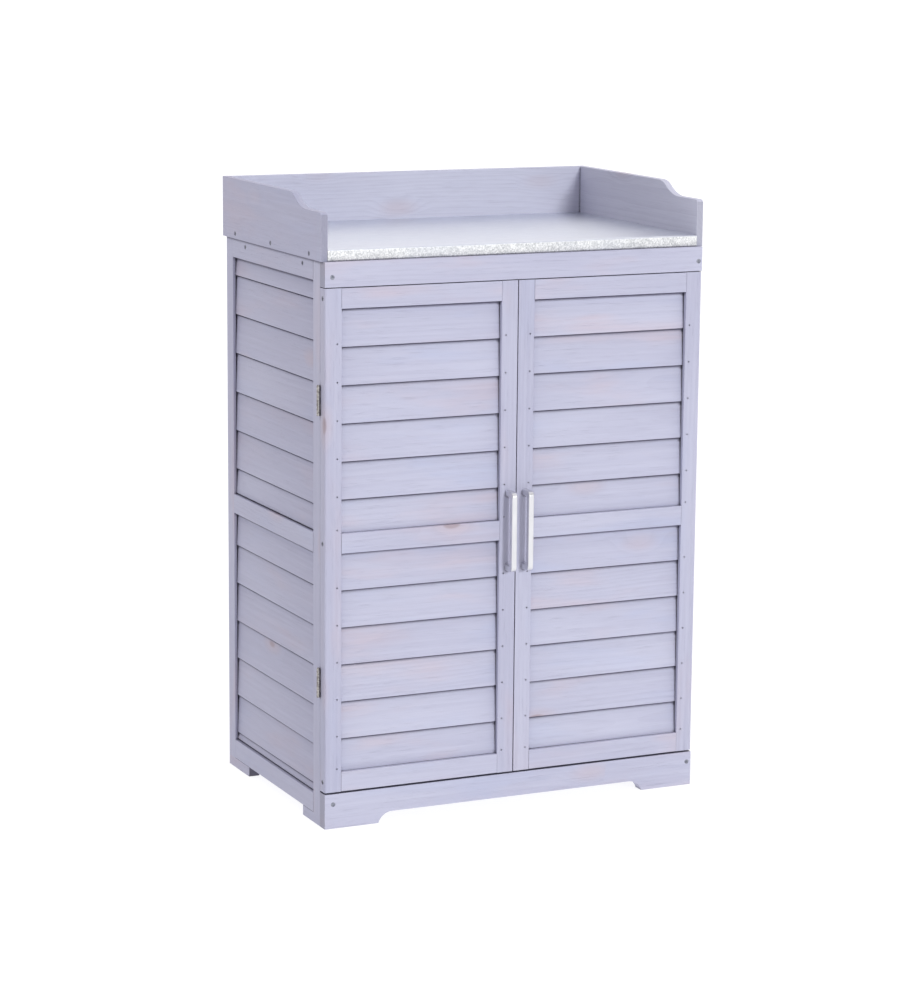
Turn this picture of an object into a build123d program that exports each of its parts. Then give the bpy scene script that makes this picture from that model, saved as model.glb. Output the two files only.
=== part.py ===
"""Potting bench: a two-door wooden cabinet with a zinc-clad worktop and a low gallery around it.

X runs to the right across the front, the doors face -Y and Z is up. The origin is the centre of the
footprint, handles included, on the floor. Sizes are millimetres.
"""
import os
from math import atan, degrees, hypot, sqrt

from build123d import *

os.makedirs("parts", exist_ok=True)

SIDES = (("left", -1), ("right", 1))

# ---- whole cabinet ------------------------------------------------------------------------------
WIDTH = 700                # over the side frames
CARCASS_DEPTH = 450        # door faces to the back of the rear posts
RAIL_TOP = 955             # top of the side frames and of the apron
GALLERY_TOP = 1059         # overall height
HANDLE_REACH = 28          # handle bar in front of the doors
BACK_T = 8                 # back boards

# ---- boards -------------------------------------------------------------------------------------
FRONT_T = 21               # apron and plinth
APRON_H = 42
PLINTH_H = 60
CUT_H = 18.5               # cut-out under the plinth
CUT_R = 26                 # curve that ends it over each bracket foot
BRACKET_W = 98             # width of a bracket foot on the floor
STILE_W = 30               # door stiles and side posts
RAIL_H = 34                # door rails and side rails
FRAME_T = 20               # thickness of the side frames
FOOT_H = 17                # foot blocks under the side frames
FOOT_L = 98                # from the front or back face inwards
MID_RAIL_Z = 466           # underside of the side frames' middle rails
ARRIS = 1.2                # softened long edges

# ---- doors --------------------------------------------------------------------------------------
DOOR_T = 20
DOOR_GAP = 1.2             # over the doors, and between the two
DOOR_FOOT_GAP = 3          # over the plinth
DOOR_ARRIS = 3.5           # outer upright edges of the doors

# ---- lapped slats and the rebates that hold them ------------------------------------------------
SLAT_GROOVE = 1.8          # shadow gap under each slat and under the rails
SLAT_THICK = 9             # at its bottom edge
DOOR_SLAT_THIN = 5         # at its top edge
SIDE_SLAT_THIN = 6.5
SIDE_SLAT_FOOT_GAP = 2     # shadow gap under the lowest slats of the side frames
TONGUE_T = 3.4
TONGUE_H = 6
TONGUE_DEEP = 2            # socket over a tongue, past its end
TONGUE_LOOSE = 0.3         # play in front of a tongue
REBATE_W = 14
SLAT_ENTRY = 13            # how far a slat goes into a rebate
DOOR_LIP = 7               # wood in front of a rebate
SIDE_LIP = 5
DOOR_SLAT_PITCH = 63.5
SIDE_SLAT_PITCH = 68.5
LOWER_FIRST_SLAT = 58      # height of the top slat in the side frames' lower panel
UPPER_FIRST_SLAT = 32      # and in their upper panel
REBATE_OVERRUN = 10        # side rebates run on behind the rails

# ---- worktop and gallery ------------------------------------------------------------------------
TOP_BOARD_T = 18.4
ZINC_T = 0.6
ZINC_BEND = 2              # inside radius where the sheet turns down over the front edge
GALLERY_T = 12
GALLERY_PROUD = 4          # gallery sides stand outside the side frames
GALLERY_SETBACK = 7        # gallery front edges behind the door faces
GALLERY_FRONT_H = 80       # height of the gallery sides at the front
GALLERY_NOSE = 7           # round on their upper front corners
GALLERY_STEP_AT = 65       # start of the ogee, from the front edge
OGEE_L = 75                # length of the ogee
OGEE_CONVEX_SHARE = 0.35   # of the ogee that is its upper, convex curve
TABLE_BATTEN_W = 30
TABLE_BATTEN_IN = (97, 91)  # their middles, behind the door faces and in front of the rear

# ---- inside -------------------------------------------------------------------------------------
SHELF_T = 12
SHELF_TOP = 490
SHELF_SETBACK = 10         # shelf's front edge behind the doors
FLOOR_T = 9
BATTEN = 20                # square battens and cleats
BACK_BOARDS = 7
BACK_BOARD_GAP = 1
BACK_CHAMFER = 2
BACK_INSET = 10            # back boards stop short of the side faces
BACK_FOOT = 6              # and above the side frames' lower edge
BACK_TOP_GAP = 0.5         # and under the gallery

# ---- screws and nails ---------------------------------------------------------------------------
SCREW_R = 2.2
SCREW_HEAD_R = 4
SCREW_SINK = 0.5           # head below the wood's face
CROSS_SLOT_W = 0.28        # width and length of the cross recess, in head radii
CROSS_SLOT_L = 1.3
CROSS_SLOT_DEEP = 1.4      # its depth, in slot widths
COUNTERSINK = 90
FRONT_SCREW_L = 40
RAIL_SCREW_L = 45
GALLERY_SCREW_L = 35
FRAME_SCREW_L = 50
HINGE_SCREW_L = 16
HINGE_SCREW_R = 1.4
HINGE_SCREW_HEAD_R = 2.6
APRON_SCREW_X = (-337, 343)
APRON_SCREW_UP = 17        # above the apron's lower edge
PLINTH_SCREW_X = (-335, 342)
PLINTH_SCREW_Z = 42
GALLERY_SCREW_Y = (-156, 16, 182)
GALLERY_SCREW_UP = 9       # above the gallery's lower edge
GALLERY_SCREW_IN = 60      # back board's outer screws, from its ends
RAIL_SCREW_DOWN = 11       # below the side frames' top
NAIL_R = 0.9
NAIL_HEAD_R = 1.3
NAIL_HEAD_T = 0.8
NAIL_L = 13
NAIL_IN = 8                # from the stile's inner edge
NAIL_UP = 6                # above a slat's bottom edge

# ---- hinges -------------------------------------------------------------------------------------
HINGE_H = 50
HINGE_OFFSET = 238         # hinge centres above and below the doors' middle
HINGE_OUT = 3.3            # pin outside the side face
KNUCKLES = 5
KNUCKLE_GAP = 0.4
KNUCKLE_R = 2.8
PIN_R = 1.4
PIN_HEAD_R = 2.3
PIN_HEAD_T = 1.2
PIN_CLEARANCE = 0.05
LEAF_T = 1.2
LEAF_W = 17
LEAF_EDGE_IN = 0.3         # flat of a leaf stops inside the side face
HINGE_SCREW_DZ = 15        # above and below a hinge's centre
HINGE_SCREW_IN = 9         # from the side face

# ---- handles ------------------------------------------------------------------------------------
HANDLE_HOLES = 128         # between the handle's two screws
HANDLE_BAR = 10            # square bar
HANDLE_ROUND = 9           # outer corners of the bow
HANDLE_INSIDE_ROUND = 3
HANDLE_EDGE = 1.8
HANDLE_HOLE_DEEP = 12
MACHINE_SCREW_R = 2
MACHINE_SCREW_CLEARANCE = 0.3
MACHINE_SCREW_INTO = 10    # into the handle
PAN_HEAD_R = 4
PAN_HEAD_T = 0.9

# ---- magnetic catches ---------------------------------------------------------------------------
CATCH_X = 16               # middle of a catch, from the cabinet's middle
CATCH_W = 26
CATCH_L = 18
CATCH_H = 11
CATCH_ROUND = 1.5
STRIKE_W = 22
STRIKE_H = 12
STRIKE_T = 1.2
STRIKE_ROUND = 2
STRIKE_GAP = 0.4           # to the catch, with the door shut
SPUR_R = 1
SPUR_L = 5
SPUR_DX = 7                # spurs each side of a strike plate's middle

# ---- places worked out from them ----------------------------------------------------------------
HALF = WIDTH / 2
INNER = HALF - FRAME_T                                   # inner faces of the side frames
DEPTH = HANDLE_REACH + CARCASS_DEPTH + BACK_T
Y_FRONT = -DEPTH / 2 + HANDLE_REACH                      # door, apron and plinth faces
Y_POST = Y_FRONT + FRONT_T                               # front of the posts
Y_DOOR_BACK = Y_FRONT + DOOR_T
Y_REAR = Y_FRONT + CARCASS_DEPTH                         # back of the rear posts
Y_BACK = Y_REAR + BACK_T
Y_BAR = Y_FRONT - HANDLE_REACH + HANDLE_BAR              # back of the handles' bars

APRON_Z = RAIL_TOP - APRON_H
DOOR_Z0 = PLINTH_H + DOOR_FOOT_GAP
DOOR_Z1 = APRON_Z - DOOR_GAP
DOOR_MID = (DOOR_Z0 + DOOR_Z1) / 2
PANEL_H = (DOOR_Z1 - DOOR_Z0 - 3 * RAIL_H) / 2
SHELF_Z = SHELF_TOP - SHELF_T

TABLE_Z = RAIL_TOP + TOP_BOARD_T
TABLE_BACK = Y_BACK - GALLERY_T
TABLE_HALF = HALF + GALLERY_PROUD - GALLERY_T
GALLERY_OUT = TABLE_HALF + GALLERY_T
GALLERY_FRONT = Y_FRONT + GALLERY_SETBACK
TABLE_BATTEN_Y = (Y_FRONT + TABLE_BATTEN_IN[0], Y_REAR - TABLE_BATTEN_IN[1])

X_PIN = HALF + HINGE_OUT
Y_PIN = (Y_DOOR_BACK + Y_POST) / 2
HINGE_Z = (DOOR_MID - HINGE_OFFSET, DOOR_MID + HINGE_OFFSET)
KNUCKLE_H = HINGE_H / KNUCKLES
HANDLE_X = DOOR_GAP / 2 + STILE_W / 2
HANDLE_Z = (DOOR_MID - HANDLE_HOLES / 2, DOOR_MID + HANDLE_HOLES / 2)


def slat_levels(bottom, top, pitch, first):
    """Bottom edges of the slats in a panel, from the top down. The last one stands on the rail."""
    levels = []
    z = top - first
    while z > bottom + SLAT_GROOVE:
        levels.append(z)
        z -= pitch
    return levels + [bottom]


DOOR_PANELS = [
    (z0, z0 + PANEL_H, slat_levels(z0, z0 + PANEL_H, DOOR_SLAT_PITCH, DOOR_SLAT_PITCH))
    for z0 in (DOOR_Z0 + RAIL_H, DOOR_Z0 + 2 * RAIL_H + PANEL_H)
]
SIDE_PANELS = [
    (z0, z1, slat_levels(z0, z1, SIDE_SLAT_PITCH, first))
    for z0, z1, first in (
        (FOOT_H + RAIL_H, MID_RAIL_Z, LOWER_FIRST_SLAT),
        (MID_RAIL_Z + RAIL_H, RAIL_TOP - RAIL_H, UPPER_FIRST_SLAT),
    )
]


# ---- shared shapes ------------------------------------------------------------------------------
def save(piece, name):
    """Label a finished piece and write its STEP file."""
    piece.part.label = name
    export_step(piece.part, f"parts/{name}.step")


def board(x, y, z, along=None):
    """A planed board between the given limits, with the long edges along one axis softened."""
    with BuildPart() as piece:
        with BuildSketch(Plane.XY.offset(z[0])):
            with Locations(((x[0] + x[1]) / 2, (y[0] + y[1]) / 2)):
                Rectangle(abs(x[1] - x[0]), abs(y[1] - y[0]))
        extrude(amount=z[1] - z[0])
        if along is not None:
            fillet(piece.edges().filter_by(along), ARRIS)
    return piece


def battens(centres, width, height, arris=None):
    """Battens from side frame to side frame, with their middles at the given (y, z)."""
    with BuildPart() as group:
        with BuildSketch(Plane.YZ.offset(-INNER)):
            with Locations(*centres):
                Rectangle(width, height)
        extrude(amount=2 * INNER)
        if arris is not None:
            fillet(group.edges().filter_by(Axis.X), arris)
    return group


def front_plane(x, z, sink=SCREW_SINK):
    """A plane facing the front, just below the door faces."""
    return Plane(origin=(x, Y_FRONT + sink, z), x_dir=(1, 0, 0), z_dir=(0, -1, 0))


def back_plane(x, y, z):
    """A plane facing the back."""
    return Plane(origin=(x, y, z), x_dir=(1, 0, 0), z_dir=(0, 1, 0))


def side_plane(side, y, z, face):
    """A plane facing outwards from the left or right side, just below a face."""
    return Plane(origin=(side * (face - SCREW_SINK), y, z), x_dir=(0, 1, 0), z_dir=(side, 0, 0))


def screws(planes, length, radius=SCREW_R, head_radius=SCREW_HEAD_R):
    """Countersunk screws whose heads lie at the given planes, pointing away from their normals."""
    slot = head_radius * CROSS_SLOT_W
    downwards = (Align.CENTER, Align.CENTER, Align.MAX)
    with BuildPart() as group:
        with Locations(*planes):
            Cylinder(radius, length, align=downwards)
            Cone(radius, head_radius, head_radius - radius, align=downwards)
            for turn in (0, 90):
                Box(slot, head_radius * CROSS_SLOT_L, slot * CROSS_SLOT_DEEP,
                    rotation=(0, 0, turn), mode=Mode.SUBTRACT)
    return group


def screw_holes(piece, planes, depth):
    """Countersunk holes for the screws at those planes."""
    with piece:
        with Locations(*planes):
            CounterSinkHole(SCREW_R, SCREW_HEAD_R, depth=depth, counter_sink_angle=COUNTERSINK)


def slats(plane, panels, length, lip, thin, foot_gap):
    """Lapped slats for some panels. The plane's x is the depth from the frame's face, its y is up."""
    back = lip + SLAT_THICK
    tongue = back - TONGUE_T
    socket = tongue - TONGUE_LOOSE
    with BuildPart() as group:
        for bottom, top, levels in panels:
            for level, above in zip(levels, [top] + levels[:-1]):
                foot = level + foot_gap if level == bottom else level
                head = above - SLAT_GROOVE
                tip = min(above + TONGUE_H, top)
                socket_top = level + TONGUE_H + TONGUE_DEEP
                with BuildSketch(plane):
                    with BuildLine():
                        Polyline(
                            (lip, foot),
                            (back - thin, head),
                            (tongue, head),
                            (tongue, tip),
                            (back, tip),
                            (back, socket_top),
                            (socket, socket_top),
                            (socket, foot),
                            close=True,
                        )
                    make_face()
                extrude(amount=length)
    return group


# ---- side frames --------------------------------------------------------------------------------
FRONT_POST_Y = (Y_POST, Y_POST + STILE_W)
REAR_POST_Y = (Y_REAR - STILE_W, Y_REAR)
rail_screw_planes = []
for name, side in SIDES:
    frame_x = (side * HALF, side * INNER)
    rebate_x = side * (HALF - (SIDE_LIP + FRAME_T) / 2)

    front_post = board(frame_x, FRONT_POST_Y, (FOOT_H, RAIL_TOP), Axis.Z)
    with front_post:
        with Locations(*[(side * (HALF - LEAF_W / 2), Y_POST + LEAF_T / 2, z) for z in HINGE_Z]):
            Box(LEAF_W, LEAF_T, HINGE_H, mode=Mode.SUBTRACT)
    rear_post = board(frame_x, REAR_POST_Y, (FOOT_H, RAIL_TOP), Axis.Z)
    for post_name, post, rebate_y in (
        ("front", front_post, FRONT_POST_Y[1] - REBATE_W / 2),
        ("rear", rear_post, REAR_POST_Y[0] + REBATE_W / 2),
    ):
        with post:
            for bottom, top, _ in SIDE_PANELS:
                with Locations((rebate_x, rebate_y, (bottom + top) / 2)):
                    Box(FRAME_T - SIDE_LIP, REBATE_W, top - bottom + REBATE_OVERRUN, mode=Mode.SUBTRACT)
        save(post, f"{name}_{post_name}_post")

    top_rail_planes = [side_plane(side, y, RAIL_TOP - RAIL_SCREW_DOWN, HALF) for y in TABLE_BATTEN_Y]
    rail_screw_planes += top_rail_planes
    for rail_name, z0 in (("top", RAIL_TOP - RAIL_H), ("middle", MID_RAIL_Z), ("bottom", FOOT_H)):
        rail = board(frame_x, (FRONT_POST_Y[1], REAR_POST_Y[0]), (z0, z0 + RAIL_H), Axis.Y)
        if rail_name == "top":
            screw_holes(rail, top_rail_planes, FRAME_T)
        save(rail, f"{name}_{rail_name}_rail")

    slat_start = FRONT_POST_Y[1] - SLAT_ENTRY
    slat_plane = Plane(origin=(frame_x[0], slat_start, 0), x_dir=(-side, 0, 0), z_dir=(0, side, 0))
    slat_run = side * (REAR_POST_Y[0] + SLAT_ENTRY - slat_start)
    side_slats = slats(slat_plane, SIDE_PANELS, slat_run, SIDE_LIP, SIDE_SLAT_THIN, SIDE_SLAT_FOOT_GAP)
    save(side_slats, f"{name}_side_slats")

with BuildPart() as foot_blocks:
    with BuildSketch():
        for _, side in SIDES:
            with Locations((side * (HALF - FRAME_T / 2), Y_FRONT + (FRONT_T + FOOT_L) / 2)):
                Rectangle(FRAME_T, FOOT_L - FRONT_T)
            with Locations((side * (HALF - FRAME_T / 2), Y_REAR - FOOT_L / 2)):
                Rectangle(FRAME_T, FOOT_L)
    extrude(amount=FOOT_H)
    fillet(foot_blocks.edges().filter_by(Axis.Z), ARRIS)
save(foot_blocks, "foot_blocks")

# ---- apron and plinth ---------------------------------------------------------------------------
apron_screw_planes = [front_plane(x, APRON_Z + APRON_SCREW_UP) for x in APRON_SCREW_X]
apron = board((-HALF, HALF), (Y_FRONT, Y_POST), (APRON_Z, RAIL_TOP), Axis.X)
screw_holes(apron, apron_screw_planes, FRONT_T)
save(apron, "front_apron")

CUT_RUN = sqrt(CUT_R**2 - (CUT_R - CUT_H) ** 2)          # length of the curve over a bracket foot
with BuildPart() as plinth:
    with BuildSketch(Plane.XZ.offset(-Y_FRONT)):
        with Locations((0, PLINTH_H / 2)):
            Rectangle(WIDTH, PLINTH_H)
        with BuildLine():
            floor_line = Line((BRACKET_W - HALF, 0), (HALF - BRACKET_W, 0))
            right_curve = RadiusArc(floor_line @ 1, (HALF - BRACKET_W - CUT_RUN, CUT_H), -CUT_R)
            left_curve = RadiusArc(floor_line @ 0, (BRACKET_W + CUT_RUN - HALF, CUT_H), CUT_R)
            Line(right_curve @ 1, left_curve @ 1)
        make_face(mode=Mode.SUBTRACT)
    extrude(amount=-FRONT_T)
    fillet(plinth.edges().filter_by(Axis.X).group_by(Axis.Z)[-1], ARRIS)
plinth_screw_planes = [front_plane(x, PLINTH_SCREW_Z) for x in PLINTH_SCREW_X]
screw_holes(plinth, plinth_screw_planes, FRONT_T)
save(plinth, "plinth")
save(screws(apron_screw_planes + plinth_screw_planes, FRONT_SCREW_L), "front_board_screws")

# ---- worktop ------------------------------------------------------------------------------------
table_y = (GALLERY_FRONT + ZINC_T, TABLE_BACK)
table_board = board((-TABLE_HALF, TABLE_HALF), table_y, (RAIL_TOP, TABLE_Z))
with table_board:
    fillet(table_board.edges().filter_by(Axis.X).group_by(Axis.Y)[0].sort_by(Axis.Z)[-1], ZINC_BEND)
save(table_board, "table_board")

with BuildPart() as zinc_sheet:
    with BuildSketch(Plane.YZ.offset(-TABLE_HALF)):
        with BuildLine():
            outside = FilletPolyline(
                (GALLERY_FRONT, RAIL_TOP),
                (GALLERY_FRONT, TABLE_Z + ZINC_T),
                (TABLE_BACK, TABLE_Z + ZINC_T),
                radius=ZINC_BEND + ZINC_T,
            )
            inside = FilletPolyline(
                (TABLE_BACK, TABLE_Z),
                (GALLERY_FRONT + ZINC_T, TABLE_Z),
                (GALLERY_FRONT + ZINC_T, RAIL_TOP),
                radius=ZINC_BEND,
            )
            Line(outside @ 1, inside @ 0)
            Line(inside @ 1, outside @ 0)
        make_face()
    extrude(amount=2 * TABLE_HALF)
save(zinc_sheet, "zinc_sheet")

batten_centres = [(y, RAIL_TOP - RAIL_H / 2) for y in TABLE_BATTEN_Y]
save(battens(batten_centres, TABLE_BATTEN_W, RAIL_H, ARRIS), "table_battens")
save(screws(rail_screw_planes, RAIL_SCREW_L), "side_rail_screws")

# ---- gallery ------------------------------------------------------------------------------------
GALLERY_SCREW_Z = RAIL_TOP + GALLERY_SCREW_UP
OGEE_DROP = GALLERY_TOP - RAIL_TOP - GALLERY_FRONT_H
OGEE_TURN = 2 * degrees(atan(OGEE_DROP / OGEE_L))        # both curves turn by this much
OGEE_R = hypot(OGEE_L, OGEE_DROP) ** 2 / (2 * OGEE_DROP)  # sum of the two radii
gallery_planes = []
for name, side in SIDES:
    with BuildPart() as gallery_side:
        with BuildSketch(Plane.YZ.offset(side * TABLE_HALF)):
            with BuildLine():
                top_line = Line((Y_BACK, GALLERY_TOP),
                                (GALLERY_FRONT + GALLERY_STEP_AT + OGEE_L, GALLERY_TOP))
                convex = JernArc(top_line @ 1, (-1, 0), OGEE_R * OGEE_CONVEX_SHARE, OGEE_TURN)
                concave = JernArc(convex @ 1, convex % 1, OGEE_R * (1 - OGEE_CONVEX_SHARE), -OGEE_TURN)
                Polyline(
                    concave @ 1,
                    (GALLERY_FRONT, RAIL_TOP + GALLERY_FRONT_H),
                    (GALLERY_FRONT, RAIL_TOP),
                    (Y_BACK, RAIL_TOP),
                    top_line @ 0,
                )
            make_face()
        extrude(amount=side * GALLERY_T)
        front_edges = gallery_side.edges().filter_by(Axis.X).group_by(Axis.Y)[0]
        fillet(front_edges.sort_by(Axis.Z)[-1], GALLERY_NOSE)
        outline = gallery_side.edges().filter_by(Axis.X, reverse=True)
        fillet(outline.filter_by_position(Axis.Z, RAIL_TOP + ARRIS, GALLERY_TOP), ARRIS)
    side_screw_planes = [side_plane(side, y, GALLERY_SCREW_Z, GALLERY_OUT) for y in GALLERY_SCREW_Y]
    screw_holes(gallery_side, side_screw_planes, GALLERY_T)
    gallery_planes += side_screw_planes
    save(gallery_side, f"gallery_{name}")

gallery_back = board((-TABLE_HALF, TABLE_HALF), (TABLE_BACK, Y_BACK), (RAIL_TOP, GALLERY_TOP), Axis.X)
back_screw_planes = [back_plane(x, Y_BACK - SCREW_SINK, GALLERY_SCREW_Z)
                     for x in (GALLERY_SCREW_IN - TABLE_HALF, 0, TABLE_HALF - GALLERY_SCREW_IN)]
screw_holes(gallery_back, back_screw_planes, GALLERY_T)
save(gallery_back, "gallery_back")
save(screws(gallery_planes + back_screw_planes, GALLERY_SCREW_L), "gallery_screws")

# ---- back, floor and shelf ----------------------------------------------------------------------
back_rail_centres = [
    (Y_REAR - BATTEN / 2, z + RAIL_H / 2) for z in (FOOT_H, MID_RAIL_Z, RAIL_TOP - RAIL_H)
]
save(battens(back_rail_centres, BATTEN, RAIL_H), "back_rails")

back_board_w = (WIDTH - 2 * BACK_INSET - (BACK_BOARDS - 1) * BACK_BOARD_GAP) / BACK_BOARDS
back_z = FOOT_H + BACK_FOOT
with BuildPart() as back_boards:
    with BuildSketch(Plane.XY.offset(back_z)):
        with Locations((0, Y_REAR + BACK_T / 2)):
            with GridLocations(back_board_w + BACK_BOARD_GAP, 0, BACK_BOARDS, 1):
                Rectangle(back_board_w, BACK_T)
    extrude(amount=RAIL_TOP - BACK_TOP_GAP - back_z)
    chamfer(back_boards.edges().filter_by(Axis.Z).group_by(Axis.Y)[-1], BACK_CHAMFER)
save(back_boards, "back_boards")

floor_z = PLINTH_H - FLOOR_T
save(board((-INNER, INNER), (Y_POST, Y_REAR), (floor_z, PLINTH_H)), "floor_panel")
floor_batten_centres = [
    (y, floor_z - BATTEN / 2) for y in (Y_POST + BATTEN / 2, (Y_POST + Y_REAR - BATTEN) / 2)
]
save(battens(floor_batten_centres, BATTEN, BATTEN), "floor_battens")

shelf_y = (Y_DOOR_BACK + SHELF_SETBACK, Y_REAR - BATTEN)
save(board((-INNER, INNER), shelf_y, (SHELF_Z, SHELF_TOP), Axis.X), "shelf_panel")
with BuildPart() as shelf_cleats:
    with BuildSketch(Plane.XZ.offset(-FRONT_POST_Y[1])):
        with Locations(*[(side * (INNER - BATTEN / 2), SHELF_Z - BATTEN / 2) for _, side in SIDES]):
            Rectangle(BATTEN, BATTEN)
    extrude(amount=FRONT_POST_Y[1] - REAR_POST_Y[0])
save(shelf_cleats, "shelf_cleats")

with BuildPart() as catches:
    catch_y = Y_DOOR_BACK + STRIKE_T + STRIKE_GAP + CATCH_L / 2
    with Locations(*[(side * CATCH_X, catch_y, SHELF_Z - CATCH_H / 2) for _, side in SIDES]):
        Box(CATCH_W, CATCH_L, CATCH_H)
    fillet(catches.edges().filter_by(Axis.Y), CATCH_ROUND)
save(catches, "magnetic_catches")


# ---- hinges -------------------------------------------------------------------------------------
def hinge_screw_planes(side, facing):
    """Where the screws of one side's leaves have their heads. Facing is the way the heads point, in Y."""
    y = Y_POST if facing < 0 else Y_DOOR_BACK
    return [
        Plane(origin=(side * (HALF - HINGE_SCREW_IN), y, z + dz), x_dir=(1, 0, 0), z_dir=(0, facing, 0))
        for z in HINGE_Z for dz in (-HINGE_SCREW_DZ, HINGE_SCREW_DZ)
    ]


def hinge_leaves(sides, y0, facing, first_knuckle, bore):
    """Leaves of the hinges on some sides. Every second knuckle, from the first, is theirs."""
    leaf_edge = HALF - LEAF_EDGE_IN
    y = y0 + LEAF_T / 2
    levels = [z - HINGE_H / 2 + (k + 0.5) * KNUCKLE_H
              for z in HINGE_Z for k in range(first_knuckle, KNUCKLES, 2)]
    with BuildPart() as leaves:
        for side in sides:
            with Locations(*[(side * (leaf_edge + HALF - LEAF_W) / 2, y, z) for z in HINGE_Z]):
                Box(leaf_edge - HALF + LEAF_W, LEAF_T, HINGE_H)
            with Locations(*[(side * (leaf_edge + X_PIN) / 2, y, z) for z in levels]):
                Box(X_PIN - leaf_edge, LEAF_T, KNUCKLE_H - KNUCKLE_GAP)
            with Locations(*[(side * X_PIN, Y_PIN, z) for z in levels]):
                Cylinder(KNUCKLE_R, KNUCKLE_H - KNUCKLE_GAP)
                Cylinder(bore, KNUCKLE_H, mode=Mode.SUBTRACT)
            with Locations(*hinge_screw_planes(side, facing)):
                CounterSinkHole(HINGE_SCREW_R, HINGE_SCREW_HEAD_R, depth=LEAF_T,
                                counter_sink_angle=COUNTERSINK)
    return leaves


save(hinge_leaves((-1, 1), Y_POST, -1, 0, PIN_R), "post_hinge_leaves")
post_screw_planes = hinge_screw_planes(-1, -1) + hinge_screw_planes(1, -1)
save(screws(post_screw_planes, HINGE_SCREW_L, HINGE_SCREW_R, HINGE_SCREW_HEAD_R), "post_hinge_screws")

with BuildPart() as hinge_pins:
    with Locations(*[(side * X_PIN, Y_PIN, z) for _, side in SIDES for z in HINGE_Z]):
        Cylinder(PIN_R, HINGE_H)
        with Locations((0, 0, (HINGE_H + PIN_HEAD_T) / 2)):
            Cylinder(PIN_HEAD_R, PIN_HEAD_T)
save(hinge_pins, "hinge_pins")

# ---- doors --------------------------------------------------------------------------------------
DOOR_Y = (Y_FRONT, Y_DOOR_BACK)
DOOR_Z = (DOOR_Z0, DOOR_Z1)
REBATE_Y = Y_FRONT + (DOOR_LIP + DOOR_T) / 2
DOOR_RAILS = (("top", DOOR_Z1 - RAIL_H), ("middle", DOOR_Z0 + RAIL_H + PANEL_H), ("bottom", DOOR_Z0))


def cut_slat_rebates(stile, x):
    """Rebates in the back of a door stile, one for each panel of slats."""
    with stile:
        with Locations(*[(x, REBATE_Y, (bottom + top) / 2) for bottom, top, _ in DOOR_PANELS]):
            Box(REBATE_W, DOOR_T - DOOR_LIP, PANEL_H, mode=Mode.SUBTRACT)


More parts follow.
